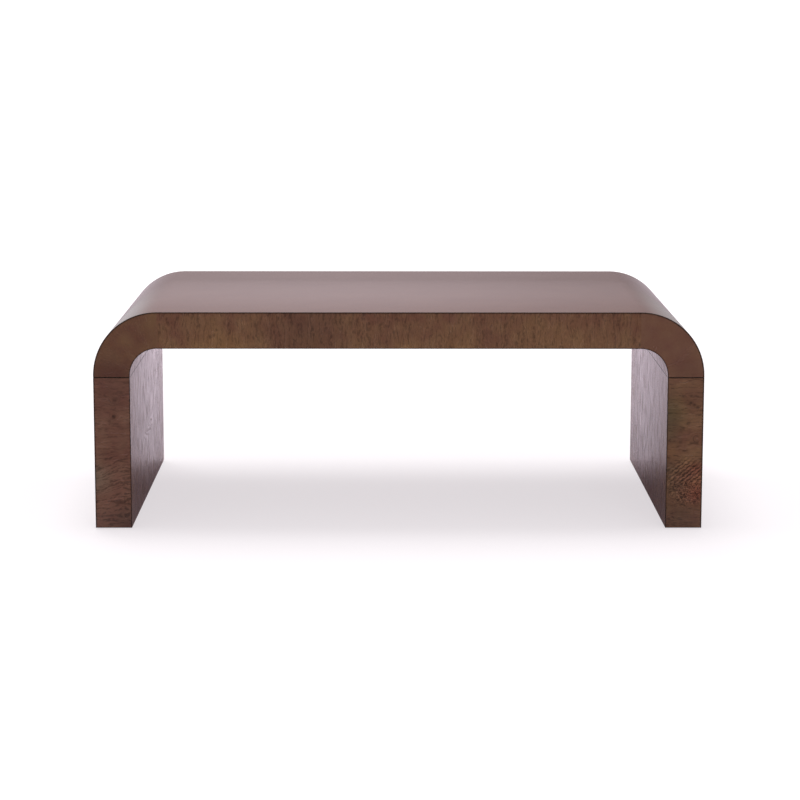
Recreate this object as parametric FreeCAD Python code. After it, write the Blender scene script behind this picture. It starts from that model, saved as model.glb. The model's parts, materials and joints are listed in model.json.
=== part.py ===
"""Waterfall coffee table: a veneered top with two bent corners, standing on two panel legs.

Millimetres. +X runs along the table, +Y to its back, +Z up. The origin is on the floor, under its centre.
The top is one hollow unit: two flat skins and four bent skins on a frame of rails, ribs and corner formers.
Each leg is a hollow panel of the same thickness. Tie rods in each leg pull it up against the top's end.
"""

import FreeCAD, Part
import math
import os

# Overall form
TABLE_LENGTH = 1270.0
TABLE_DEPTH = 762.0
TABLE_HEIGHT = 457.2
PANEL_THICKNESS = 76.2
BEND_RADIUS = 133.35  # outside of the corner
SEAM_DROP = 3.15  # straight stretch of the top below each bend, down to the leg
EDGE_EASE = 1.3  # bevel on every outer edge

# Sheet and veneer
FACE_VENEER = 1.5  # sawn, thick enough to take the bevel
EDGE_BAND = 2.0
SKIN = 9.0

# Frame of the top
TOP_RAIL_WIDTH = 40.0
BEND_RAIL_WIDTH = 40.0
RIB_THICKNESS = 18.0
TOP_RIB_SPACING = 150.0
FORMER_THICKNESS = 18.0
FORMER_SPACING = 250.0
END_BLOCK_HEIGHT = 45.0
HOUSING_DEPTH = 6.0  # depth of the slots that the rib ends sit in

# Saw kerfs on the hollow side of the outer bent skins
KERF_WIDTH = 3.2
KERF_WEB = 2.5  # skin left uncut behind each kerf
KERF_PITCH = 11.0
KERF_MARGIN = 14.0  # uncut stretch at each end of the bend

# Loose tongues between the flat and the bent skins
TONGUE_THICKNESS = 3.0
TONGUE_DEPTH = 8.0  # into each skin

# Frame of the legs
STILE_WIDTH = 40.0
LEG_RAIL_HEIGHT = 40.0
LEG_RIB_COUNT = 3
TENON_LENGTH = 12.0
TENON_THICKNESS = 20.0
TENON_SHOULDER = 8.0

# Tie rods, nuts, washers and inserts
ROD_DIAMETER = 8.0
ROD_HOLE_CLEARANCE = 0.5  # radial, through the leg rails and the washer
THREAD_CLEARANCE = 0.05  # radial, rod in nut and insert
ROD_END_ALLOWANCE = 2.0  # how far the rod stops short of the insert's end, and sticks out of the nut
WASHER_DIAMETER = 22.0
WASHER_THICKNESS = 1.6
NUT_ACROSS_FLATS = 13.0
NUT_HEIGHT = 6.5
COUNTERBORE_DEPTH = 15.0
COUNTERBORE_CLEARANCE = 1.0  # radial, round the washer
INSERT_DIAMETER = 12.0
INSERT_LENGTH = 20.0

# Loose tenons that line the leg up with the top
SEAM_TENON_THICKNESS = 10.0
SEAM_TENON_WIDTH = 20.0
SEAM_TENON_LENGTH = 50.0
SEAM_TENON_END_SPACE = 1.0
FIT_CLEARANCE = 0.1  # on each side, loose tenons and inserts in their holes

# Glides
GLIDE_DIAMETER = 25.0
GLIDE_THICKNESS = 2.0
GLIDE_CHAMFER = 0.6
GLIDE_INSET = 70.0  # from the leg's front and back edges to the glide's middle

QUARTER_TURN = math.pi / 2
CUT_OVERRUN = 1.0  # how far a cutting shape passes out of the face it opens
LEFT, RIGHT = -1, 1
FRONT, BACK = -1, 1
SIDES = {"left": LEFT, "right": RIGHT}
ENDS = {"front": FRONT, "back": BACK}

# Places that follow from the sizes above
HALF_LENGTH = TABLE_LENGTH / 2
HALF_DEPTH = TABLE_DEPTH / 2
CORE_HALF_DEPTH = HALF_DEPTH - EDGE_BAND
FULL_YS = (-HALF_DEPTH, HALF_DEPTH)
CORE_YS = (-CORE_HALF_DEPTH, CORE_HALF_DEPTH)
BEND_CENTRE_X = HALF_LENGTH - BEND_RADIUS
BEND_CENTRE_Z = TABLE_HEIGHT - BEND_RADIUS
SEAM_Z = BEND_CENTRE_Z - SEAM_DROP
LEG_BOTTOM_Z = GLIDE_THICKNESS
PANEL_MIDDLE_X = HALF_LENGTH - PANEL_THICKNESS / 2
EASE = min(EDGE_EASE, 0.9 * FACE_VENEER, 0.9 * EDGE_BAND)

# Depths below the outer face at which one layer of the panel ends and the next begins
UNDER_OUTER_VENEER = FACE_VENEER
UNDER_OUTER_SKIN = FACE_VENEER + SKIN
OVER_INNER_SKIN = PANEL_THICKNESS - FACE_VENEER - SKIN
OVER_INNER_VENEER = PANEL_THICKNESS - FACE_VENEER

ROD_RADIUS = ROD_DIAMETER / 2
ROD_HOLE_RADIUS = ROD_RADIUS + ROD_HOLE_CLEARANCE
THREAD_RADIUS = ROD_RADIUS + THREAD_CLEARANCE
INSERT_RADIUS = INSERT_DIAMETER / 2
WASHER_RADIUS = WASHER_DIAMETER / 2
WASHER_TOP_Z = LEG_BOTTOM_Z + COUNTERBORE_DEPTH
NUT_TOP_Z = WASHER_TOP_Z - WASHER_THICKNESS
NUT_BOTTOM_Z = NUT_TOP_Z - NUT_HEIGHT
ROD_BOTTOM_Z = NUT_BOTTOM_Z - ROD_END_ALLOWANCE
ROD_TOP_Z = SEAM_Z + INSERT_LENGTH - ROD_END_ALLOWANCE
SEAM_TENON_Y = CORE_HALF_DEPTH - (STILE_WIDTH - TENON_LENGTH) / 2  # clear of the rail's tenon
GLIDE_Y = HALF_DEPTH - GLIDE_INSET
LEG_RAIL_HALF = CORE_HALF_DEPTH - STILE_WIDTH  # from the middle of a leg rail to its shoulder


def span_box(xs, ys, zs):
    """A box between two values on each axis, given in either order."""
    low = [min(pair) for pair in (xs, ys, zs)]
    high = [max(pair) for pair in (xs, ys, zs)]
    size = [b - a for a, b in zip(low, high)]
    return Part.makeBox(*size, FreeCAD.Vector(*low))


def upright_cylinder(radius, x, y, z_low, z_high):
    return Part.makeCylinder(radius, z_high - z_low, FreeCAD.Vector(x, y, z_low))


def bend_point(side, inset, angle):
    """A point on a bend, inset from the outer face, at an angle that grows from the leg to the top."""
    radius = BEND_RADIUS - inset
    x = side * (BEND_CENTRE_X + radius * math.cos(angle))
    return FreeCAD.Vector(x, 0, BEND_CENTRE_Z + radius * math.sin(angle))


def bend_arc(side, inset):
    points = [bend_point(side, inset, angle) for angle in (0, QUARTER_TURN / 2, QUARTER_TURN)]
    return Part.Arc(*points).toShape()


def seam_point(side, inset):
    return FreeCAD.Vector(side * (HALF_LENGTH - inset), 0, SEAM_Z)


def straight(start, end):
    return Part.LineSegment(start, end).toShape()


def extruded(edges, ys):
    """The closed outline of edges in the XZ plane, extruded between two values of Y."""
    outline = Part.Wire(Part.sortEdges(edges)[0])
    solid = Part.Face(outline).extrude(FreeCAD.Vector(0, max(ys) - min(ys), 0))
    solid.translate(FreeCAD.Vector(0, min(ys), 0))
    return solid


def bend_edges(side, inset):
    """One line of the corner's section: up from the seam, then round the bend to the top."""
    foot = straight(seam_point(side, inset), bend_point(side, inset, 0))
    return [foot, bend_arc(side, inset)]


def bend_layer(side, inset_from, inset_to, ys):
    """A corner layer between two depths below the outer face."""
    foot = straight(seam_point(side, inset_from), seam_point(side, inset_to))
    head = straight(bend_point(side, inset_from, QUARTER_TURN), bend_point(side, inset_to, QUARTER_TURN))
    edges = bend_edges(side, inset_from) + bend_edges(side, inset_to)
    return extruded(edges + [foot, head], ys)


def flat_layer(inset_from, inset_to, ys):
    """A layer of the flat part of the top between two depths below the outer face."""
    zs = (TABLE_HEIGHT - inset_from, TABLE_HEIGHT - inset_to)
    return span_box((-BEND_CENTRE_X, BEND_CENTRE_X), ys, zs)


def waterfall_layer(inset_from, inset_to, ys):
    """A layer that runs from seam to seam over both bends."""
    edges = []
    for side in SIDES.values():
        edges += bend_edges(side, inset_from) + bend_edges(side, inset_to)
        edges.append(straight(seam_point(side, inset_from), seam_point(side, inset_to)))
    for inset in (inset_from, inset_to):
        ends = [bend_point(side, inset, QUARTER_TURN) for side in (LEFT, RIGHT)]
        edges.append(straight(*ends))
    return extruded(edges, ys)


def eased(solid, is_outer_edge):
    edges = [edge for edge in solid.Edges if is_outer_edge(edge.BoundBox)]
    return solid.makeChamfer(EASE, edges)


def top_envelope():
    """The whole top as one body with its outer edges eased. The veneers and bands are cut from it."""

    def is_outer_edge(box):
        on_end = min(abs(box.YMin + HALF_DEPTH), abs(box.YMax - HALF_DEPTH)) < EASE and box.YLength < EASE
        on_seam = box.ZMax < SEAM_Z + EASE
        return on_end or on_seam

    return eased(waterfall_layer(0, PANEL_THICKNESS, FULL_YS), is_outer_edge)


def leg_layer(side, inset_from, inset_to, ys, zs=(LEG_BOTTOM_Z, SEAM_Z)):
    """A layer of a leg between two depths below its outer face."""
    xs = (side * (HALF_LENGTH - inset_from), side * (HALF_LENGTH - inset_to))
    return span_box(xs, ys, zs)


def leg_envelope(side):
    """The whole leg as one body with all its edges eased."""
    return eased(leg_layer(side, 0, PANEL_THICKNESS, FULL_YS), lambda box: True)


def even_places(low, high, spacing):
    """Places spread evenly from low to high, both included, about one spacing apart."""
    gaps = max(1, round((high - low) / spacing))
    return [low + (high - low) * i / gaps for i in range(gaps + 1)]


def leg_rib_places():
    """The ribs divide the leg into even bays between its stiles."""
    bay = 2 * LEG_RAIL_HALF / (LEG_RIB_COUNT + 1)
    return [-LEG_RAIL_HALF + bay * (i + 1) for i in range(LEG_RIB_COUNT)]


def rod_places():
    """One rod in the middle of each outermost bay."""
    ribs = leg_rib_places()
    return [(ribs[0] - LEG_RAIL_HALF) / 2, (ribs[-1] + LEG_RAIL_HALF) / 2]


def end_span(end, thickness, half_depth):
    """The stretch of Y that a layer takes at the front or the back."""
    return (end * half_depth, end * (half_depth - thickness))


def top_veneers():
    """Two sheets over the whole depth, and the bands that close the front and back edges between them."""
    envelope = top_envelope()
    raw = {
        "top_outer_veneer": waterfall_layer(0, UNDER_OUTER_VENEER, FULL_YS),
        "top_underside_veneer": waterfall_layer(OVER_INNER_VENEER, PANEL_THICKNESS, FULL_YS),
    }
    for end_name, end in ENDS.items():
        ys = end_span(end, EDGE_BAND, HALF_DEPTH)
        raw[f"top_{end_name}_edge_band"] = flat_layer(UNDER_OUTER_VENEER, OVER_INNER_VENEER, ys)
        for side_name, side in SIDES.items():
            band = bend_layer(side, UNDER_OUTER_VENEER, OVER_INNER_VENEER, ys)
            raw[f"top_{end_name}_{side_name}_corner_band"] = band
    return {name: layer.common(envelope) for name, layer in raw.items()}


def tongues():
    """A loose tongue across each joint between a flat and a bent skin."""
    middles = (UNDER_OUTER_VENEER + SKIN / 2, OVER_INNER_SKIN + SKIN / 2)
    strips = []
    for side in SIDES.values():
        xs = (side * (BEND_CENTRE_X - TONGUE_DEPTH), side * (BEND_CENTRE_X + TONGUE_DEPTH))
        for middle in middles:
            z = TABLE_HEIGHT - middle
            zs = (z - TONGUE_THICKNESS / 2, z + TONGUE_THICKNESS / 2)
            strips.append(span_box(xs, CORE_YS, zs))
    return strips


def kerfs(side):
    """Saw kerfs across the hollow face of the outer bent skin. Bending has closed each of them a little."""
    root = UNDER_OUTER_VENEER + KERF_WEB
    mouth = UNDER_OUTER_SKIN + CUT_OVERRUN
    root_radius = BEND_RADIUS - root
    mouth_radius = BEND_RADIUS - mouth
    margin = KERF_MARGIN / root_radius
    places = even_places(margin, QUARTER_TURN - margin, KERF_PITCH / root_radius)
    closing = (mouth - root) * QUARTER_TURN / len(places)
    root_half = KERF_WIDTH / 2 / root_radius
    mouth_half = (KERF_WIDTH - closing) / 2 / mouth_radius
    corners = [(root, -root_half), (root, root_half), (mouth, mouth_half), (mouth, -mouth_half)]
    cuts = []
    for angle in places:
        points = [bend_point(side, inset, angle + offset) for inset, offset in corners]
        outline = [straight(a, b) for a, b in zip(points, points[1:] + points[:1])]
        cuts.append(extruded(outline, CORE_YS))
    return cuts


def top_skins():
    """Two flat skins, and an outer and an inner bent skin at each corner, grooved for the tongues."""
    strips = tongues()
    skins = {
        "top_upper_skin": flat_layer(UNDER_OUTER_VENEER, UNDER_OUTER_SKIN, CORE_YS),
        "top_lower_skin": flat_layer(OVER_INNER_SKIN, OVER_INNER_VENEER, CORE_YS),
    }
    for side_name, side in SIDES.items():
        outer = bend_layer(side, UNDER_OUTER_VENEER, UNDER_OUTER_SKIN, CORE_YS)
        skins[f"{side_name}_outer_bend_skin"] = outer.cut(kerfs(side))
        inner = bend_layer(side, OVER_INNER_SKIN, OVER_INNER_VENEER, CORE_YS)
        skins[f"{side_name}_inner_bend_skin"] = inner
    pieces = {name: skin.cut(strips) for name, skin in skins.items()}
    pieces["skin_joint_tongues"] = Part.makeCompound(strips)
    return pieces


def top_frame():
    """Rails and ribs between the flat skins. The ribs' ends are housed in the long rails."""
    zs = (TABLE_HEIGHT - UNDER_OUTER_SKIN, TABLE_HEIGHT - OVER_INNER_SKIN)
    rail_end_x = BEND_CENTRE_X - BEND_RAIL_WIDTH
    rib_half_depth = CORE_HALF_DEPTH - TOP_RAIL_WIDTH + HOUSING_DEPTH
    rib_xs = even_places(-rail_end_x, rail_end_x, TOP_RIB_SPACING)[1:-1]
    ribs = []
    for x in rib_xs:
        xs = (x - RIB_THICKNESS / 2, x + RIB_THICKNESS / 2)
        ribs.append(span_box(xs, (-rib_half_depth, rib_half_depth), zs))
    pieces = {"top_cross_ribs": Part.makeCompound(ribs)}
    for end_name, end in ENDS.items():
        ys = end_span(end, TOP_RAIL_WIDTH, CORE_HALF_DEPTH)
        pieces[f"top_{end_name}_rail"] = span_box((-rail_end_x, rail_end_x), ys, zs).cut(ribs)
    for side_name, side in SIDES.items():
        pieces[f"{side_name}_bend_rail"] = span_box((side * rail_end_x, side * BEND_CENTRE_X), CORE_YS, zs)
    return pieces


def corner_frame(side_name, side):
    """Quarter-ring formers that hold the two bent skins apart, standing on a block at the seam."""
    block_top = SEAM_Z + END_BLOCK_HEIGHT
    xs = (side * BEND_CENTRE_X, side * HALF_LENGTH)
    below = span_box(xs, FULL_YS, (SEAM_Z, block_top))
    block = bend_layer(side, UNDER_OUTER_SKIN, OVER_INNER_SKIN, CORE_YS).common(below)
    middle_x = side * PANEL_MIDDLE_X
    insert_zs = (SEAM_Z, SEAM_Z + INSERT_LENGTH)
    holes = [upright_cylinder(INSERT_RADIUS + FIT_CLEARANCE, middle_x, y, *insert_zs) for y in rod_places()]
    holes += [seam_mortice(middle_x, end) for end in ENDS.values()]
    outermost = CORE_HALF_DEPTH - FORMER_THICKNESS / 2
    formers = []
    for y in even_places(-outermost, outermost, FORMER_SPACING):
        ys = (y - FORMER_THICKNESS / 2, y + FORMER_THICKNESS / 2)
        formers.append(bend_layer(side, UNDER_OUTER_SKIN, OVER_INNER_SKIN, ys).cut(below))
    return {
        f"{side_name}_end_block": block.cut(holes),
        f"{side_name}_front_corner_former": formers[0],
        f"{side_name}_back_corner_former": formers[-1],
        f"{side_name}_middle_corner_formers": Part.makeCompound(formers[1:-1]),
    }


def seam_tenon(x, end, slack=0.0, end_slack=0.0):
    """A loose tenon across the seam, or with slack the mortices that it fits in."""
    y = end * SEAM_TENON_Y
    half_thickness = SEAM_TENON_THICKNESS / 2 + slack
    half_width = SEAM_TENON_WIDTH / 2 + slack
    half_length = SEAM_TENON_LENGTH / 2 + end_slack
    return span_box(
        (x - half_thickness, x + half_thickness),
        (y - half_width, y + half_width),
        (SEAM_Z - half_length, SEAM_Z + half_length),
    )


def seam_mortice(x, end):
    return seam_tenon(x, end, FIT_CLEARANCE, SEAM_TENON_END_SPACE)


def leg_frame(name, side):
    """Two stiles, two rails tenoned into them, and upright ribs housed in the rails."""
    middle_x = side * PANEL_MIDDLE_X
    rail_zs = {
        "top": (SEAM_Z - LEG_RAIL_HEIGHT, SEAM_Z),
        "bottom": (LEG_BOTTOM_Z, LEG_BOTTOM_Z + LEG_RAIL_HEIGHT),
    }
    rib_zs = (rail_zs["bottom"][1] - HOUSING_DEPTH, rail_zs["top"][0] + HOUSING_DEPTH)
    ribs = []
    for y in leg_rib_places():
        ys = (y - RIB_THICKNESS / 2, y + RIB_THICKNESS / 2)
        ribs.append(leg_layer(side, UNDER_OUTER_SKIN, OVER_INNER_SKIN, ys, rib_zs))
    pieces = {f"{name}_leg_ribs": Part.makeCompound(ribs)}
    tenon_xs = (middle_x - TENON_THICKNESS / 2, middle_x + TENON_THICKNESS / 2)
    tenon_half = LEG_RAIL_HALF + TENON_LENGTH
    tenons = []
    for rail_name, zs in rail_zs.items():
        tenon_zs = (zs[0] + TENON_SHOULDER, zs[1] - TENON_SHOULDER)
        tenon = span_box(tenon_xs, (-tenon_half, tenon_half), tenon_zs)
        tenons.append(tenon)
        rail = leg_layer(side, UNDER_OUTER_SKIN, OVER_INNER_SKIN, (-LEG_RAIL_HALF, LEG_RAIL_HALF), zs)
        tenoned = rail.fuse(tenon).removeSplitter()
        pieces[f"{name}_leg_{rail_name}_rail"] = tenoned.cut(ribs + rod_holes(middle_x))
    for end_name, end in ENDS.items():
        ys = end_span(end, STILE_WIDTH, CORE_HALF_DEPTH)
        stile = leg_layer(side, UNDER_OUTER_SKIN, OVER_INNER_SKIN, ys)
        pieces[f"{name}_leg_{end_name}_stile"] = stile.cut(tenons + [seam_mortice(middle_x, end)])
    return pieces


def rod_holes(x):
    """Rod holes through the leg, wide enough at the bottom for the washers and nuts."""
    room = WASHER_RADIUS + COUNTERBORE_CLEARANCE
    holes = []
    for y in rod_places():
        holes.append(upright_cylinder(ROD_HOLE_RADIUS, x, y, LEG_BOTTOM_Z, SEAM_Z))
        holes.append(upright_cylinder(room, x, y, LEG_BOTTOM_Z, WASHER_TOP_Z))
    return holes


def leg_faces(name, side):
    """The two skins of a leg with their veneer, and the bands on its front and back edges."""
    envelope = leg_envelope(side)
    outer_veneer = leg_layer(side, 0, UNDER_OUTER_VENEER, FULL_YS)
    inner_veneer = leg_layer(side, OVER_INNER_VENEER, PANEL_THICKNESS, FULL_YS)
    pieces = {
        f"{name}_leg_outer_skin": leg_layer(side, UNDER_OUTER_VENEER, UNDER_OUTER_SKIN, CORE_YS),
        f"{name}_leg_inner_skin": leg_layer(side, OVER_INNER_SKIN, OVER_INNER_VENEER, CORE_YS),
        f"{name}_leg_outer_veneer": outer_veneer.common(envelope),
        f"{name}_leg_inner_veneer": inner_veneer.common(envelope),
    }
    for end_name, end in ENDS.items():
        ys = end_span(end, EDGE_BAND, HALF_DEPTH)
        band = leg_layer(side, UNDER_OUTER_VENEER, OVER_INNER_VENEER, ys)
        pieces[f"{name}_leg_{end_name}_edge_band"] = band.common(envelope)
    return pieces


def ring(outer_radius, inner_radius, x, y, zs):
    return upright_cylinder(outer_radius, x, y, *zs).cut(upright_cylinder(inner_radius, x, y, *zs))


def hexagon_nut(x, y):
    corner_radius = NUT_ACROSS_FLATS / 2 / math.cos(math.pi / 6)
    corners = []
    for i in range(6):
        angle = math.pi / 3 * i
        corner = FreeCAD.Vector(x + corner_radius * math.cos(angle), y + corner_radius * math.sin(angle))
        corners.append(corner + FreeCAD.Vector(0, 0, NUT_BOTTOM_Z))
    prism = Part.Face(Part.makePolygon(corners + corners[:1])).extrude(FreeCAD.Vector(0, 0, NUT_HEIGHT))
    return prism.cut(upright_cylinder(THREAD_RADIUS, x, y, NUT_BOTTOM_Z, NUT_TOP_Z))


def glide(x, y):
    """A round stick-on foot, bevelled where it meets the floor."""
    disc = upright_cylinder(GLIDE_DIAMETER / 2, x, y, 0, GLIDE_THICKNESS)
    rim = [edge for edge in disc.Edges if edge.BoundBox.ZMax < GLIDE_THICKNESS / 2]
    return disc.makeChamfer(GLIDE_CHAMFER, rim)


def hardware():
    """The tie rods with their nuts, washers and inserts, the tenons across the seam, and the glides."""
    rods, washers, nuts, inserts, tenons, glides = [], [], [], [], [], []
    for side in SIDES.values():
        x = side * PANEL_MIDDLE_X
        for y in rod_places():
            rods.append(upright_cylinder(ROD_RADIUS, x, y, ROD_BOTTOM_Z, ROD_TOP_Z))
            washers.append(ring(WASHER_RADIUS, ROD_HOLE_RADIUS, x, y, (NUT_TOP_Z, WASHER_TOP_Z)))
            nuts.append(hexagon_nut(x, y))
            inserts.append(ring(INSERT_RADIUS, THREAD_RADIUS, x, y, (SEAM_Z, SEAM_Z + INSERT_LENGTH)))
        for end in ENDS.values():
            tenons.append(seam_tenon(x, end))
            glides.append(glide(x, end * GLIDE_Y))
    groups = {
        "tie_rods": rods,
        "tie_rod_washers": washers,
        "tie_rod_nuts": nuts,
        "tie_rod_inserts": inserts,
        "seam_tenons": tenons,
        "leg_glides": glides,
    }
    return {name: Part.makeCompound(solids) for name, solids in groups.items()}


def table():
    pieces = {}
    pieces.update(top_veneers())
    pieces.update(top_skins())
    pieces.update(top_frame())
    for side_name, side in SIDES.items():
        pieces.update(corner_frame(side_name, side))
        pieces.update(leg_frame(side_name, side))
        pieces.update(leg_faces(side_name, side))
    pieces.update(hardware())
    return pieces


os.makedirs("parts", exist_ok=True)
for node, shape in table().items():
    shape.exportStep(f"parts/{node}.step")
    print(node, len(shape.Solids), round(sum(solid.Volume for solid in shape.Solids)))
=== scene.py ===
"""Looks of the waterfall coffee table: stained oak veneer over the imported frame, in a plain studio.

Metres, in the frame's own axes: +X along the table, +Y to its back, +Z up.
"""

import bmesh
import bpy
import json
import math
from mathutils import Matrix, Vector


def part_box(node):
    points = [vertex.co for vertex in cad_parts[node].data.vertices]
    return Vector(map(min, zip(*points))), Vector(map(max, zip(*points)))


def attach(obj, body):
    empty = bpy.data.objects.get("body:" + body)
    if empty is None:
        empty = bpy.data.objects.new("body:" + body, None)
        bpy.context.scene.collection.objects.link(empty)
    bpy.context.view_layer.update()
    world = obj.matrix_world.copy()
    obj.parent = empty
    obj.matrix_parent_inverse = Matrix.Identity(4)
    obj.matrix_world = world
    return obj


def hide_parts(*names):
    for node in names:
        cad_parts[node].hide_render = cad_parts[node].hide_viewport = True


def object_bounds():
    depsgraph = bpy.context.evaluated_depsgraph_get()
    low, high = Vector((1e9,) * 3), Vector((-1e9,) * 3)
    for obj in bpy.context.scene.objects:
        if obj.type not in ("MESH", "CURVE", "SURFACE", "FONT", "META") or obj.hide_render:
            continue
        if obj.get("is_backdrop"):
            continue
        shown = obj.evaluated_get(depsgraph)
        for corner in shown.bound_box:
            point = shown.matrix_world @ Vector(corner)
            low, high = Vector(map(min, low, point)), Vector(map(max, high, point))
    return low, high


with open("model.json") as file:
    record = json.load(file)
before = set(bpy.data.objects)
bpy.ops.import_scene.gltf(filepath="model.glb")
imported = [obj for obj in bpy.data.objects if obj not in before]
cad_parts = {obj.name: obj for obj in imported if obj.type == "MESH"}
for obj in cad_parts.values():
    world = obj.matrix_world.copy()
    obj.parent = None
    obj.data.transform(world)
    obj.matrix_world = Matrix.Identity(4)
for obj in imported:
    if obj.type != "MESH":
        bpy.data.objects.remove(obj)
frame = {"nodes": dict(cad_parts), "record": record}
cad_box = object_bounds()

MM = 0.001
QUARTER = math.pi / 2
SIDES = {"left": -1, "right": 1}
ENDS = {"front": -1, "back": 1}
SLOT_OF = {part["node"]: part["material_slot"] for part in frame["record"]["subparts"]}

# Sizes of the frame that the veneer is laid on
HALF_LENGTH, HALF_DEPTH, TOP_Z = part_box("top_outer_veneer")[1]
SEAM_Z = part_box("top_outer_veneer")[0].z
FOOT_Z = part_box("right_leg_outer_veneer")[0].z
VENEER = HALF_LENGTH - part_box("right_leg_outer_veneer")[0].x
PANEL = HALF_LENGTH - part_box("right_leg_inner_veneer")[0].x
BAND = HALF_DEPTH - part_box("top_back_edge_band")[0].y
BEND_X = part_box("top_upper_skin")[1].x
BEND_RADIUS = HALF_LENGTH - BEND_X
BEND_Z = TOP_Z - BEND_RADIUS

EASE = 1.3 * MM  # sanded rounding of every outer edge
EASE_FLATS = 4
GLUE_LINE = 0.15 * MM  # fine groove between a band and the sheets beside it
BEND_STEPS = 48
SMOOTH_BELOW = math.radians(12)  # smooths the steps of the bends but not the flats of the rounding
NEAR = 0.02 * MM  # two places closer than this are the same place

# The grain map of these pieces is shifted by so many metres, so that their figure isn't their neighbours'
INNER_SHIFT = 2.0
CORNER_SHIFT = 3.0
TOP_BAND_SHIFT = 5.0


# ---------------------------------------------------------------- modelling


def inset_and_run(x, z, radius_offset):
    """How far a point lies below the outer face, and how far along the panel it is from the table's middle."""
    side = math.copysign(1, x)
    radius = BEND_RADIUS - radius_offset
    out, up = abs(x) - BEND_X, z - BEND_Z
    if out <= 0:
        return TOP_Z - z, x
    if up >= 0:
        return BEND_RADIUS - math.hypot(out, up), side * (BEND_X + radius * math.atan2(out, up))
    return HALF_LENGTH - abs(x), side * (BEND_X + radius * QUARTER - up)


def lay_grain(piece, kind, shift):
    """A UV map in metres: the first value runs with the grain and the second, plus a shift, across it."""
    uv = piece.data.uv_layers.new(name="grain")
    middle = {"outer": 0, "inner": PANEL, "band": PANEL / 2}[kind]
    for loop in piece.data.loops:
        x, y, z = piece.data.vertices[loop.vertex_index].co
        inset, run = inset_and_run(x, z, middle)
        uv.data[loop.index].uv = (inset, run + shift) if kind == "band" else (run, y + shift)


def select_edges(mesh, wanted):
    """Selects the edges whose two ends together answer to wanted."""
    bpy.ops.mesh.select_mode(type="EDGE")
    bpy.ops.mesh.select_all(action="DESELECT")
    shape = bmesh.from_edit_mesh(mesh)
    for edge in shape.edges:
        edge.select_set(wanted(*(vertex.co for vertex in edge.verts)))
    bmesh.update_edit_mesh(mesh)


def laid_strip(name, xs, ys, z, path):
    """A flat start face carried along a path of straight moves and (side, angle) turns round a bend. In edit mode."""
    bpy.ops.object.select_all(action="DESELECT")
    middle = ((xs[0] + xs[1]) / 2, (ys[0] + ys[1]) / 2, z)
    bpy.ops.mesh.primitive_plane_add(size=1, calc_uvs=False, location=middle)
    piece = bpy.context.object
    piece.name = piece.data.name = name
    piece.scale = (abs(xs[1] - xs[0]), abs(ys[1] - ys[0]), 1)
    bpy.ops.object.transform_apply(location=True, rotation=True, scale=True)
    bpy.ops.object.mode_set(mode="EDIT")
    bpy.ops.mesh.select_mode(type="FACE")
    bpy.ops.mesh.select_all(action="SELECT")
    for step in path:
        if len(step) == 3:
            bpy.ops.mesh.extrude_region_move(TRANSFORM_OT_translate={"value": step})
        else:
            side, angle = step
            bpy.ops.mesh.spin(
                steps=BEND_STEPS, angle=angle, center=(side * BEND_X, 0, BEND_Z), axis=(0, 1, 0)
            )
    bpy.ops.mesh.select_all(action="SELECT")
    bpy.ops.mesh.remove_doubles(threshold=NEAR)
    bpy.ops.mesh.normals_make_consistent(inside=False)
    return piece


def finished(piece, node, kind, shift, finish):
    """Leaves edit mode and gives the piece its smooth bends, grain, finish and place in the frame."""
    bpy.ops.object.mode_set(mode="OBJECT")
    bpy.ops.object.shade_smooth_by_angle(angle=SMOOTH_BELOW)
    lay_grain(piece, kind, shift)
    piece.data.materials.append(finish)
    piece.data.materials.append(EDGE_STAIN_AND_SHADE_OAK)
    for face in piece.data.polygons:
        spots = [piece.data.vertices[i].co for i in face.vertices]
        at_edge = any(all(end * spot.y > HALF_DEPTH - EASE - NEAR for spot in spots) for end in ENDS.values())
        at_end = any(all(abs(spot.z - cut) < EASE + NEAR for spot in spots) for cut in (SEAM_Z, FOOT_Z))
        # The cut edges and ends of the veneer, dark from stain and from painted shade
        if at_end or (at_edge and kind != "band"):
            face.material_index = 1
    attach(piece, "root")
    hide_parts(node)


def same(a, b):
    return abs(a - b) < NEAR


def face_sheet(name, node, finish, inset, path, side=-1, z=SEAM_Z, shift=0.0):
    """A sheet of veneer over the panel's whole depth, on its outer or its inner face, with its outer edges eased."""
    is_outer = inset == 0
    xs = sorted(side * (HALF_LENGTH - place) for place in (inset, inset + VENEER))
    piece = laid_strip(name, xs, (-HALF_DEPTH, HALF_DEPTH), z, path)
    skin = 0 if is_outer else PANEL

    def on_rim(a, b):
        if not all(same(inset_and_run(p.x, p.z, 0)[0], skin) for p in (a, b)):
            return False
        on_long_edge = same(abs(a.y), HALF_DEPTH) and same(a.y, b.y)
        on_end = same(a.z, b.z) and (same(a.z, SEAM_Z) or same(a.z, FOOT_Z))
        return on_long_edge or on_end

    select_edges(piece.data, on_rim)
    bpy.ops.mesh.bevel(offset=EASE, segments=EASE_FLATS, affect="EDGES")
    finished(piece, node, "outer" if is_outer else "inner", shift, finish)


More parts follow.
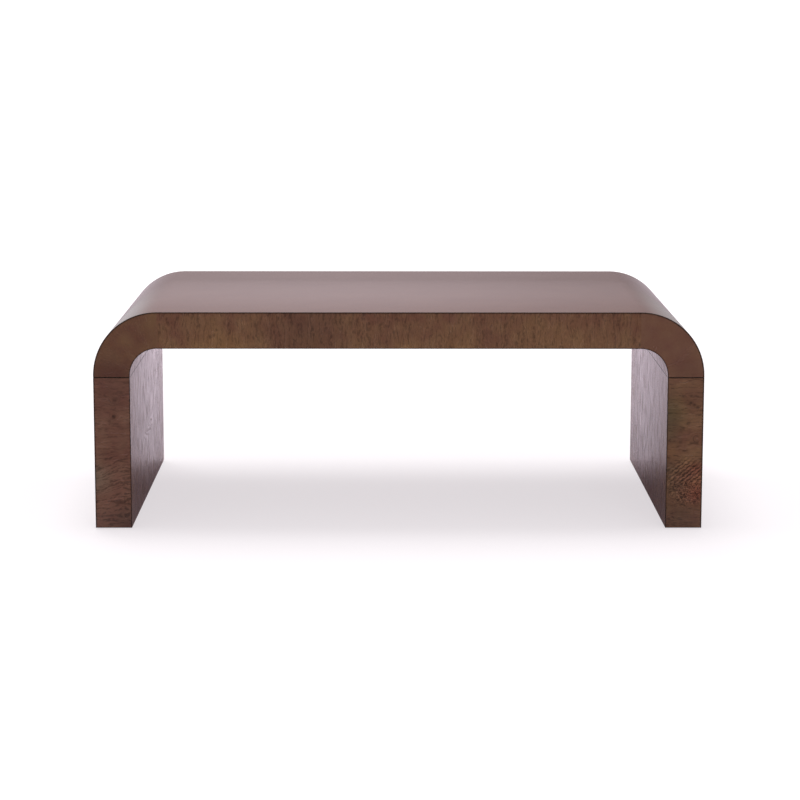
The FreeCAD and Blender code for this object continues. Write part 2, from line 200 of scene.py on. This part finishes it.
def edge_band(name, node, finish, end, xs, z, path, shift=0.0):
    """A crossband on the front or back edge, between the two face sheets."""
    ys = sorted((end * HALF_DEPTH, end * (HALF_DEPTH - BAND)))
    piece = laid_strip(name, sorted(xs), ys, z, path)

    def on_front(a, b):
        return same(a.y, end * HALF_DEPTH) and same(b.y, end * HALF_DEPTH)

    def on_open_end(a, b):
        return on_front(a, b) and same(a.z, b.z) and (same(a.z, SEAM_Z) or same(a.z, FOOT_Z))

    def beside_sheet(a, b):
        insets = [inset_and_run(p.x, p.z, 0)[0] for p in (a, b)]
        return on_front(a, b) and same(*insets) and (same(insets[0], VENEER) or same(insets[0], PANEL - VENEER))

    select_edges(piece.data, on_open_end)
    bpy.ops.mesh.bevel(offset=EASE, segments=EASE_FLATS, affect="EDGES")
    select_edges(piece.data, beside_sheet)
    bpy.ops.mesh.bevel(offset=GLUE_LINE, segments=1, affect="EDGES")
    finished(piece, node, "band", shift, finish)


# ---------------------------------------------------------------- materials


def linear(colour):
    """An sRGB hex colour as the linear values that Blender mixes."""
    channels = [int(colour[i : i + 2], 16) / 255 for i in (1, 3, 5)]
    return [c / 12.92 if c <= 0.04045 else ((c + 0.055) / 1.055) ** 2.4 for c in channels] + [1.0]


def blank_finish(name):
    """An empty material, and the function that adds a node to it."""
    material = bpy.data.materials.new(name)
    material.use_nodes = True
    material.node_tree.nodes.clear()
    return material, node_adder(material.node_tree)


def node_adder(tree):
    """The function that adds a node to a tree, with its settings, values and links."""

    def add(kind, inputs=(), out=0, stops=(), **settings):
        made = tree.nodes.new("ShaderNode" + kind)
        for key, value in settings.items():
            setattr(made, key, value)
        for element, (place, tone) in zip(made.color_ramp.elements if stops else (), stops):
            element.position, element.color = place, tone
        for key, value in inputs.items() if isinstance(inputs, dict) else enumerate(inputs):
            if isinstance(value, bpy.types.NodeSocket):
                tree.links.new(value, made.inputs[key])
            else:
                made.inputs[key].default_value = value
        return made.outputs[out] if len(made.outputs) else made

    return add


WANDER = 4 * MM  # how far a grain line strays to either side


def stained_oak(
    name, depth, tones=("#613F30", "#6D4F37"), areas=(5, 5), gold_rise=0.0, grain=(36, 190), lines=0.26,
    rings=(85, 0.34, 0.1), flame=0.08, strokes=1.0, knots=(), curls=None, bold=None, patches=(), seam=None,
    band_edge_shade=True, sheen=(0.22, 0.28), relief=0.08,
):
    """Oak veneer stained dark brown under a satin lacquer.

    The stain leaves broad reddish and golden areas, the open pores stay as dark dashes along the grain, and the
    lacquer gives a soft sheen that turns to a pale haze at a low angle.

    depth is the brightness of the stain, tones its reddish and its golden colour, areas how often they change along
    and across the grain, and gold_rise how much more golden it gets away from the outer face. Grain is the rate of
    the fine lines along and across, and lines their contrast. Rings gives how many growth rings there are to a metre,
    how dark they are, and how much of each stays blank. Flame is the contrast of broad streaks, and strokes that of
    pores, flecks and rays. Round each of the knots (place along the grain, place across it, radius, rise, stretch)
    the grain lines close like contours. The curls (place, radius, stretch) are an area of chevron figure, bold
    (place, radius) is an area of darker rings, and patches (place, radius, tone, share, stretch) are spots of another
    tone. The seam is where the joint between top and leg crosses a band, which is painted darker there as the shade
    in the joint's groove. Sheen is the roughness of the lacquer from streak to streak, and relief the depth of the
    pores in millimetres. Places, radii and rises are in metres.
    """
    material, add = blank_finish(name)
    grain_map = add("SeparateXYZ", [add("UVMap", uv_map="grain")]).node
    along, across = grain_map.outputs[0], grain_map.outputs[1]

    def pattern_place(along_rate, line, across_rate, seed):
        """Where to read a pattern that repeats so many times to a metre. A noise has five waves in each repeat."""
        u = add("Math", [along, along_rate], operation="MULTIPLY")
        v = add("Math", [line, across_rate], operation="MULTIPLY")
        return add("CombineXYZ", [u, v, seed])

    def distance_from(spot, stretch=1.0):
        """How far a place is from a spot, which may be stretched along the grain."""
        u = add("Math", [along, spot[0]], operation="SUBTRACT")
        v = add("Math", [across, spot[1]], operation="SUBTRACT")
        u = add("Math", [u, stretch], operation="DIVIDE")
        return add("VectorMath", [add("CombineXYZ", [u, v])], out=1, operation="LENGTH")

    # Grain lines are contours of one height: level across the sheet, swaying every 22 mm along it
    sway = add("TexNoise", {"Vector": pattern_place(9, across, 14, 3.0), "Detail": 2.0})
    line = add("Math", [sway, 2 * WANDER, across], operation="MULTIPLY_ADD")
    for knot in knots:
        swell = [distance_from(knot, knot[4]), 0, knot[2], knot[3], 0]
        line = add("Math", [line, add("MapRange", swell, interpolation_type="SMOOTHERSTEP")])

    # Fine lines 0.6 to 1.8 mm wide, fibres 0.2 mm wide, and streaks 12 mm wide and 50 mm long
    fine = add("TexNoise", {"Vector": pattern_place(grain[0], line, grain[1], 17.0), "Detail": 2.0, "Roughness": 0.6})
    fibre = add("TexNoise", {"Vector": pattern_place(40, line, 1100, 23.0), "Detail": 1.0})
    flames = add("TexNoise", {"Vector": pattern_place(4, line, 16, 11.0), "Detail": 2.0})

    # Growth rings: thin dark lines that follow the grain, bunched every 8 mm, and broken off every 8 mm along it
    bunching = add("TexNoise", {"Vector": pattern_place(5, line, 24, 19.0), "Detail": 0.0})
    phase = add("Math", [bunching, 14.0], operation="MULTIPLY")
    phase = add("Math", [line, 2 * math.pi * rings[0], phase], operation="MULTIPLY_ADD")
    ring = add("MapRange", [add("Math", [phase], operation="SINE"), rings[2], 0.95])
    broken = add("TexNoise", {"Vector": pattern_place(26, line, 40, 29.0), "Detail": 1.0})
    ring = add("Math", [ring, add("MapRange", [broken, 0.40, 0.56])], operation="MULTIPLY")
    if bold:
        boldness = add("MapRange", [distance_from(bold), 0.6 * bold[2], bold[2], 2.2, 0.7])
        ring = add("Math", [ring, boldness], operation="MULTIPLY")

    def dashes(along_rate, across_rate, size, share, seed):
        """Short strokes along the grain: a share of the cells holds one, and size is half its width in cells."""
        cell = add("TexVoronoi", {"Vector": pattern_place(along_rate, line, across_rate, seed), "Scale": 1.0}).node
        stroke = add("MapRange", [cell.outputs["Distance"], size, 0.5 * size])
        kept = add("Math", [add("SeparateColor", [cell.outputs["Color"]]), share], operation="LESS_THAN")
        return add("Math", [stroke, kept], operation="MULTIPLY")

    # Real pores are 0.3 mm wide. The pores here are about 0.8 mm and the flecks 2 mm, so that some show from across a
    # room. The rays are pale, also 2 mm, and they crowd together with the flecks in areas 14 mm wide
    crowd = add("TexNoise", {"Vector": pattern_place(14, across, 14, 13.0), "Detail": 1.0})
    pores = dashes(85, 900, 0.42, 0.5, 31.0)
    flecks = dashes(48, 380, 0.42, add("MapRange", [crowd, 0.42, 0.68, 0.06, 0.45]), 37.0)
    rays = dashes(56, 420, 0.36, add("MapRange", [crowd, 0.42, 0.68, 0.06, 0.3]), 41.0)

    # The stain's colour
    area = add("TexNoise", {"Vector": pattern_place(areas[0], across, areas[1], 2.0), "Detail": 1.0})
    rise = add("Math", [along, PANEL / 2], operation="SUBTRACT")
    area = add("Math", [rise, gold_rise, area], operation="MULTIPLY_ADD")
    area = add("MapRange", [area, 0.28, 0.72])
    colour = add("Mix", {0: area, 6: linear(tones[0]), 7: linear(tones[1])}, out=2, data_type="RGBA")
    for patch in patches:
        share = [distance_from(patch, *patch[5:]), 0, patch[2], patch[4], 0]
        share = add("MapRange", share, interpolation_type="SMOOTHSTEP")
        colour = add("Mix", {0: share, 6: colour, 7: linear(patch[3])}, out=2, data_type="RGBA")

    # How light or dark each part of the figure makes it
    tone = add("MapRange", [flames, 0.3, 0.7, depth * (1 - flame), depth * (1 + flame)])
    shades = [
        add("MapRange", [fine, 0.3, 0.7, 1 - lines, 1 + lines]),
        add("MapRange", [fibre, 0.25, 0.75, 0.93, 1.07]),
        add("MapRange", [ring, 0, 1, 1, 1 - rings[1]]),
        add("MapRange", [pores, 0, 1, 1, 1 - 0.26 * strokes]),
        add("MapRange", [flecks, 0, 1, 1, 1 - 0.45 * strokes]),
        add("MapRange", [rays, 0, 1, 1, 1 + 0.35 * strokes]),
    ]
    if band_edge_shade:
        # Painted shade along the rounded edges, with a little stain at the glue lines: the band darkens sharply within
        # 2.5 mm of the outer sheet and slightly beside the inner sheet
        shades.append(add("MapRange", [along, VENEER, VENEER + 2.5 * MM, 0.30, 1.0]))
        shades.append(add("MapRange", [along, PANEL - VENEER - 2 * MM, PANEL - VENEER, 1.0, 0.8]))
    if seam:
        # Painted shade: the band darkens within 2.5 mm of the seam, as the shade in the groove between top and leg
        from_seam = add("Math", [add("Math", [across, seam], operation="SUBTRACT")], operation="ABSOLUTE")
        shades.append(add("MapRange", [from_seam, 0.5 * MM, 2.5 * MM, 0.55, 1.0]))
    if curls:
        # Ripples 11 mm apart that meet in chevrons open towards the outer face, here stronger and there weaker
        drift = add("TexNoise", {"Vector": pattern_place(36, across, 30, 5.0), "Detail": 0.0})
        swelling = add("TexNoise", {"Vector": pattern_place(30, across, 60, 7.0), "Detail": 0.0})
        kink = add("Math", [across, curls[1] + 8 * MM], operation="SUBTRACT")
        kink = add("Math", [drift, 16 * MM, kink], operation="MULTIPLY_ADD")
        kink = add("Math", [kink], operation="ABSOLUTE")
        turn = add("Math", [kink, 1.2, along], operation="MULTIPLY_ADD")
        turn = add("Math", [turn, 90], operation="MULTIPLY")
        turn = add("Math", [drift, 0.8, turn], operation="MULTIPLY_ADD")
        turn = add("Math", [turn, 2 * math.pi], operation="MULTIPLY")
        wave = add("Math", [turn], operation="SINE")
        wave = add("Math", [wave, add("MapRange", [swelling, 0.35, 0.60, 0.45, 1.0])], operation="MULTIPLY")
        reach = [distance_from(curls, curls[3]), 0.50 * curls[2], curls[2], 0.70, 0]
        reach = add("MapRange", reach, interpolation_type="SMOOTHSTEP")
        shades.append(add("Math", [wave, reach, 1.0], operation="MULTIPLY_ADD"))
    for shade in shades:
        tone = add("Math", [tone, shade], operation="MULTIPLY")
    colour = add("VectorMath", {0: colour, "Scale": tone}, operation="SCALE")

    # Pores, flecks and growth rings lie a little below the lacquer's surface
    height = add("Math", [pores, -1.0], operation="MULTIPLY")
    height = add("Math", [flecks, -1.2, height], operation="MULTIPLY_ADD")
    height = add("Math", [height, ring], operation="SUBTRACT")
    normal = add("Bump", {"Height": height, "Strength": 0.35, "Distance": relief * MM})
    roughness = add("MapRange", [flames, 0.35, 0.65, *sheen])
    inputs = {"Base Color": colour, "Roughness": roughness, "IOR": 1.5, "Normal": normal}
    add("OutputMaterial", [add("BsdfPrincipled", inputs)])
    return material


def speckled(name, tones, rates, roughness, metallic=0.0, bump=0.05, ior=None):
    """A board, metal or plastic whose tone wavers between two colours in a pattern stretched along one axis.

    The rates are for x, y and z, each with five waves to one of them in a metre, and bump is in millimetres.
    """
    material, add = blank_finish(name)
    stretched = add("Mapping", {"Vector": add("TexCoord", out=3), "Scale": rates})
    pattern = add("TexNoise", {"Vector": stretched, "Detail": 4.0, "Roughness": 0.6})
    colour = add("ValToRGB", [pattern], stops=[(0.36, linear(tones[0])), (0.64, linear(tones[1]))])
    rough = add("MapRange", [pattern, 0.3, 0.7, *roughness])
    normal = add("Bump", {"Height": pattern, "Strength": 0.4, "Distance": bump * MM})
    inputs = {"Base Color": colour, "Roughness": rough, "Metallic": metallic, "Normal": normal}
    if ior:
        inputs["IOR"] = ior
    add("OutputMaterial", [add("BsdfPrincipled", inputs)])
    return material


def on_leg(side, inset, height, shift=0.0):
    """A place on a leg's crossband in its grain map, from mm below the outer face and mm above the floor."""
    return inset * MM, inset_and_run(side * HALF_LENGTH, height * MM, PANEL / 2)[1] + shift


def on_top_band(inset, run):
    """A place on the top's front crossband in its grain map, from mm below the top and mm along from the middle."""
    return inset * MM, run * MM - TOP_BAND_SHIFT


# Straight, quiet oak with its grain along the top: faint broad streaks, and a lacquer that mirrors the room softly
OUTER_OAK = stained_oak(
    "satin_stained_oak_outer_faces", depth=0.8, tones=("#633F30", "#694738"), areas=(2, 3), grain=(6, 160), lines=0.14,
    rings=(28, 0.14, 0.1), strokes=0.35, flame=0.05, band_edge_shade=False, sheen=(0.203, 0.207), relief=0.003,
)
# Livelier oak with its grain upright: its streaks take the lacquer unevenly and show as pale and dull lines in the
# haze, and a wide oval figure rises on the left leg
INNER_OAK = stained_oak(
    "satin_stained_oak_inner_faces", depth=0.8, areas=(2, 3), grain=(7, 110), lines=0.27, rings=(17, 0.20, 0.1),
    strokes=0.32, flame=0.20, band_edge_shade=False, sheen=(0.09, 0.33), relief=0.026,
    knots=[(inset_and_run(PANEL - HALF_LENGTH, 153 * MM, PANEL)[1], INNER_SHIFT - 10 * MM, 0.16, 0.12, 0.16)],
)
# Oak with its grain across the edge: short dark and light strokes side by side, golden brown towards the underside
BAND_OAK = stained_oak(
    "satin_stained_oak_top_crossband", depth=1.01, gold_rise=3.0, grain=(22, 330), lines=0.30, flame=0.06, strokes=0.4,
    patches=[
        (*on_top_band(90, -375), 0.120, "#7A5A37", 0.6, 0.7),
        (*on_top_band(40, -190), 0.120, "#573A2D", 0.7),
        (*on_top_band(80, 15), 0.045, "#765636", 0.5),
        (*on_top_band(85, 120), 0.070, "#765636", 0.5),
        (*on_top_band(80, 320), 0.140, "#755638", 0.5, 0.8),
    ],
)
# Plain oak round the bends, almost without figure, a little darker and redder at its lower end
CORNER_OAK = {
    "left": stained_oak(
        "satin_stained_oak_left_corner_crossband", depth=0.88, lines=0.06, rings=(85, 0.04, 0.1), flame=0.03,
        strokes=0.05, patches=[(*on_leg(-1, 38, 322, -CORNER_SHIFT), 0.080, "#54342B", 0.9)],
    ),
    "right": stained_oak(
        "satin_stained_oak_right_corner_crossband", depth=0.96, tones=("#613F33", "#6A4B39"), lines=0.06,
        rings=(85, 0.04, 0.1), flame=0.03, strokes=0.05,
        patches=[(*on_leg(1, 38, 322, -CORNER_SHIFT), 0.060, "#5A3E31", 0.5)],
    ),
}
# Figured oak with level grain. Left: two pin knots above, sweeping dark rings below. Right: a row of tiny knots above,
# greenish brown at the inner side, and a reddish area of curly figure below
LEG_OAK = {
    "left": stained_oak(
        "satin_stained_oak_left_leg_crossband", depth=0.98, tones=("#613E33", "#694A3B"), areas=(6, 5),
        grain=(12, 260), lines=0.24, rings=(85, 0.42, 0.25), strokes=0.3, seam=on_leg(-1, 0, 321)[1],
        bold=(*on_leg(-1, 38, 78), 0.085),
        knots=[
            (*on_leg(-1, 44, 271), 0.014, 0.014, 1.3),
            (*on_leg(-1, 41, 236), 0.014, 0.014, 1.3),
            (*on_leg(-1, 84, 92), 0.090, -0.018, 1.5),
            (*on_leg(-1, -8, 118), 0.050, 0.014, 1.5),
        ],
        patches=[
            (*on_leg(-1, 44, 271), 0.007, "#23130C", 0.6),
            (*on_leg(-1, 41, 237), 0.008, "#23130C", 0.6),
            (*on_leg(-1, 33, 229), 0.006, "#23130C", 0.4),
            (*on_leg(-1, 38, 290), 0.070, "#56362D", 0.6),
            (*on_leg(-1, 2, 105), 0.050, "#655B4C", 0.6),
            (*on_leg(-1, 40, 92), 0.065, "#7C5A4B", 0.35),
            (*on_leg(-1, 72, 10), 0.050, "#3A2A24", 0.5),
        ],
    ),
    "right": stained_oak(
        "satin_stained_oak_right_leg_crossband", depth=0.98, areas=(6, 5), grain=(12, 260), lines=0.22,
        rings=(90, 0.42, 0.45), strokes=0.3, seam=on_leg(1, 0, 321)[1],
        knots=[(*on_leg(1, 57, 90), 0.022, 0.026, 1.0), (*on_leg(1, 12, 196), 0.016, 0.016, 1.4)],
        curls=(*on_leg(1, 32, 98), 0.066, 0.85),
        patches=[
            (*on_leg(1, 27, 268), 0.006, "#23130C", 0.7),
            (*on_leg(1, 20, 263), 0.006, "#23130C", 0.7),
            (*on_leg(1, 13, 258), 0.006, "#23130C", 0.7),
            (*on_leg(1, 47, 184), 0.006, "#23130C", 0.4),
            (*on_leg(1, 57, 88), 0.012, "#3A2519", 0.5),
            (*on_leg(1, 74, 245), 0.065, "#514629", 0.6),
            (*on_leg(1, 20, 290), 0.060, "#58392C", 0.35),
            (*on_leg(1, 80, 180), 0.200, "#433C2F", 0.45, 0.25),
            (*on_leg(1, 42, 86), 0.034, "#4A3A30", 0.4),
            (*on_leg(1, 68, 163), 0.034, "#7E5232", 0.35),
            (*on_leg(1, 12, 80), 0.050, "#6A3228", 0.45),
            (*on_leg(1, 13, 128), 0.026, "#6A3228", 0.4),
            (*on_leg(1, 45, 22), 0.070, "#49352B", 0.5),
        ],
    ),
}
# Cut edges and ends of the veneer soak up the most stain, and painted shade darkens them further, standing in for
# the shade and dark reflections of a rounding, so every rounding reads as a thin, nearly black line
EDGE_STAIN_AND_SHADE_OAK = stained_oak("satin_stained_oak_eased_edges", depth=0.22, band_edge_shade=False)

INNER_FINISHES = {
    # Pressed wood fibre in clumps of 0.2 mm: an even, dull light brown
    "fibreboard": speckled("raw_fibreboard", ("#8F7455", "#A68A68"), (900, 900, 900), (0.75, 0.9)),
    # Sanded face and layered edge, lines of 0.3 mm: pale straw with faint level stripes
    "plywood": speckled("sanded_birch_plywood", ("#B5925F", "#CDAE7E"), (60, 60, 700), (0.6, 0.75)),
    # Growth lines of 1 mm along the rails: warm yellow, slightly smooth from the plane
    "softwood": speckled("planed_pine", ("#B98E58", "#D9B67E"), (180, 14, 180), (0.55, 0.7)),
    # Upright flecks 0.3 mm wide and 3 mm long: pinkish tan, close and smooth
    "beech": speckled("planed_beech", ("#A97B52", "#C29468"), (700, 700, 60), (0.5, 0.65)),
    # Plated metal with a spangle of 1 mm: light grey with a broad, soft gleam
    "zinc_steel": speckled("zinc_plated_steel", ("#A8A8A2", "#C4C4C0"), (220, 220, 220), (0.28, 0.42), 1.0, 0.01),
    # Turning marks 0.2 mm apart up the insert: yellow metal with fine level rings
    "insert_brass": speckled("turned_brass", ("#B08A45", "#C9A55C"), (80, 80, 900), (0.25, 0.35), 1.0, 0.01),
    # Moulded skin with a 0.4 mm texture: dark brown and half matt
    "glide_plastic": speckled(
        "moulded_polypropylene", ("#231C18", "#30271F"), (500, 500, 500), (0.45, 0.6), bump=0.03, ior=1.49
    ),
}


# ---------------------------------------------------------------- the table

RISE = (0, 0, BEND_Z - SEAM_Z)
FALL = (0, 0, SEAM_Z - BEND_Z)
LEG = (0, 0, SEAM_Z - FOOT_Z)
OVER = [RISE, (-1, -QUARTER), (2 * BEND_X, 0, 0), (1, -QUARTER), FALL]
INNER_INSET = PANEL - VENEER

face_sheet("outer_waterfall_sheet", "top_outer_veneer", OUTER_OAK, 0, OVER)
face_sheet("under_waterfall_sheet", "top_underside_veneer", INNER_OAK, INNER_INSET, OVER, shift=INNER_SHIFT)

for end_name, end in ENDS.items():
    edge_band(
        f"{end_name}_crossband", f"top_{end_name}_edge_band", BAND_OAK, end, (-BEND_X, BEND_X),
        TOP_Z - INNER_INSET, [(0, 0, PANEL - 2 * VENEER)], shift=end * TOP_BAND_SHIFT,
    )
    for side_name, side in SIDES.items():
        edge_xs = (side * (HALF_LENGTH - VENEER), side * (HALF_LENGTH - INNER_INSET))
        edge_band(
            f"{side_name}_{end_name}_corner_crossband", f"top_{end_name}_{side_name}_corner_band",
            CORNER_OAK[side_name], end, edge_xs, SEAM_Z, [RISE, (side, side * QUARTER)], shift=end * CORNER_SHIFT,
        )
        edge_band(
            f"{side_name}_leg_{end_name}_crossband", f"{side_name}_leg_{end_name}_edge_band",
            LEG_OAK[side_name], end, edge_xs, FOOT_Z, [LEG],
        )
for side_name, side in SIDES.items():
    face_sheet(f"{side_name}_leg_outer_sheet", f"{side_name}_leg_outer_veneer", OUTER_OAK, 0, [LEG], side, FOOT_Z)
    face_sheet(
        f"{side_name}_leg_inner_sheet", f"{side_name}_leg_inner_veneer", INNER_OAK, INNER_INSET, [LEG], side, FOOT_Z,
        shift=INNER_SHIFT,
    )

for node, slot in SLOT_OF.items():
    if slot in INNER_FINISHES:
        holder = frame["nodes"][node]
        if not holder.material_slots:
            holder.data.materials.append(None)
        for held in holder.material_slots:
            held.material = INNER_FINISHES[slot]


# ---------------------------------------------------------------- studio

AIM = Vector((0, 0, 0.3))  # what the lamps point at


def studio_floor():
    """A plain floor, white to the camera but for the table's shadow. Mirrored, it is dark in front of the table."""
    bpy.ops.object.select_all(action="DESELECT")
    bpy.ops.mesh.primitive_plane_add(size=600)
    floor = bpy.context.object
    floor.name = "studio_floor"
    material, add = blank_finish("pale_studio_floor")
    path = add("LightPath").node
    spot = add("TexCoord", out=3)
    x, y = add("SeparateXYZ", [spot]).node.outputs[:2]

    # Mirrored in the lacquer: paler towards the back and the left, dim from the front edge on, and never quite black
    # between the legs
    far = add("Math", [x, -0.5, y], operation="MULTIPLY_ADD")
    far = add("MapRange", [far, -0.4, 3.0, 0.555, 0.98])
    near = add("MapRange", [y, -0.56, -0.38, 0.1, 1.0], interpolation_type="SMOOTHSTEP")
    shade = add("Math", [far, near], operation="MULTIPLY")
    mirrored = add("VectorMath", {0: linear("#E6D7E3")[:3], "Scale": shade}, operation="SCALE")
    pale = {0: path.outputs["Is Glossy Ray"], 6: linear("#E6E2E4"), 7: mirrored}
    lit = add("BsdfDiffuse", {"Color": add("Mix", pale, out=2, data_type="RGBA")})
    # Painted light: a faint warm glow on the floor between the legs, seen only in reflections
    under = add("Math", [y], operation="ABSOLUTE")
    under = add("MapRange", [under, 0.3, 0.6, 1.0, 0.0], interpolation_type="SMOOTHSTEP")
    under = add("Math", [under, path.outputs["Is Glossy Ray"]], operation="MULTIPLY")
    lit = add("AddShader", [lit, add("Emission", {"Color": linear("#3C2A2C"), "Strength": under})])

    # Seen by the camera: the shadow on grey, plus a glow that grows to white away from the table
    shaded = add("BsdfDiffuse", {"Color": linear("#989898")})
    reach = add("VectorMath", [spot], out=1, operation="LENGTH")
    glow = add("MapRange", [reach, 1.3, 6.0, 0.64, 1.05], interpolation_type="SMOOTHSTEP")
    beside = add("Math", [add("Math", [y, 0.12])], operation="ABSOLUTE")
    beside = add("MapRange", [beside, 0.22, 0.42, 0.0, 0.038], interpolation_type="SMOOTHSTEP")
    glow = add("Math", [glow, beside])
    glow = add("Emission", {"Color": linear("#FFF9FD"), "Strength": glow})
    seen = add("AddShader", [shaded, glow])
    add("OutputMaterial", [add("MixShader", [path.outputs["Is Camera Ray"], lit, seen])])
    floor.data.materials.append(material)
    floor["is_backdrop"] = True


def studio_world():
    """Even light all round. Mirrored, the backdrop is pale, falling off to the right, and the room in front is dim."""
    world = bpy.data.worlds.new("studio_world")
    world.use_nodes = True
    world.node_tree.nodes.clear()
    add = node_adder(world.node_tree)
    path = add("LightPath").node
    seen = add("Background", {"Color": (1, 1, 1, 1), "Strength": 1.0})
    room = add("Background", {"Color": linear("#FFFBFD"), "Strength": 0.64})
    x, y, z = add("SeparateXYZ", [add("TexCoord")]).node.outputs

    # Mirrored in the flat top, the backdrop gets paler with height. Off to the sides, on the bends, it is even
    sideways = add("Math", [x], operation="ABSOLUTE")
    sideways = add("MapRange", [sideways, 0.11, 0.24], interpolation_type="SMOOTHSTEP")
    upward = add("MapRange", [z, 0.05, 0.19, 0.595, 0.915], interpolation_type="SMOOTHSTEP")
    brightness = add("Mix", {0: sideways, 2: upward, 3: 0.92})
    spreads = (
        [y, -0.4, 0.5, 0.10, 0.88],  # dim in front, pale behind
        [x, -0.02, 0.16, 1.0, 0.62],  # dimmer to the right
        [x, -0.12, -0.03, 0.93, 1.0],  # a touch dimmer left of the middle
        [x, -0.27, -0.14, 1.52, 1.0],  # a bright panel beside the left bend
        [x, 0.12, 0.27, 1.0, 1.6],  # and beside the right bend
    )
    for spread in spreads:
        share = add("MapRange", spread, interpolation_type="SMOOTHSTEP")
        brightness = add("Math", [share, brightness], operation="MULTIPLY")
    tint = {0: sideways, 6: linear("#FFF1F9"), 7: linear("#F7F9FF")}
    mirrored = add("Background", [add("Mix", tint, out=2, data_type="RGBA"), brightness])
    away = add("MixShader", [path.outputs["Is Glossy Ray"], room, mirrored])
    add("OutputWorld", [add("MixShader", [path.outputs["Is Camera Ray"], away, seen])])
    bpy.context.scene.world = world


def softbox(name, place, size, watts, mirrored=True):
    """A rectangular lamp turned towards the table. One that isn't mirrored leaves no highlight on the lacquer."""
    lamp = bpy.data.lights.new(name, "AREA")
    lamp.shape = "RECTANGLE"
    lamp.size, lamp.size_y = size
    lamp.energy = watts
    holder = bpy.data.objects.new(name, lamp)
    holder.visible_glossy = mirrored
    holder.location = place
    holder.rotation_euler = (AIM - Vector(place)).to_track_quat("-Z", "Y").to_euler()
    bpy.context.scene.collection.objects.link(holder)


def studio_camera():
    """A long lens 5.5 m from the table's middle and 0.66 m above its top, tilted 9.4 degrees down."""
    camera = bpy.data.cameras.new("studio_camera")
    camera.sensor_width = 36
    camera.lens = 111.891
    camera.clip_end = 1000
    holder = bpy.data.objects.new("studio_camera", camera)
    place = (-0.028597, -5.482446, 1.118484)
    pitch, yaw, roll = 0.164105, 0.006043, -0.001185
    turn = Matrix.Rotation(-yaw, 4, "Z") @ Matrix.Rotation(QUARTER - pitch, 4, "X") @ Matrix.Rotation(-roll, 4, "Z")
    holder.matrix_world = Matrix.Translation(place) @ turn
    bpy.context.scene.collection.objects.link(holder)
    bpy.context.scene.camera = holder


studio_floor()
studio_world()
studio_camera()
softbox("overhead_softbox", (-0.6, 1.9, 6.0), (3.8, 5.2), 330, mirrored=False)
softbox("front_softbox", (0.8, -6.0, 3.6), (4.0, 2.4), 100)
bpy.context.scene.view_settings.view_transform = "Standard"

boxes = {"cad": cad_box, "visual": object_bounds()}
{name: [list(corner) for corner in box] for name, box in boxes.items()}
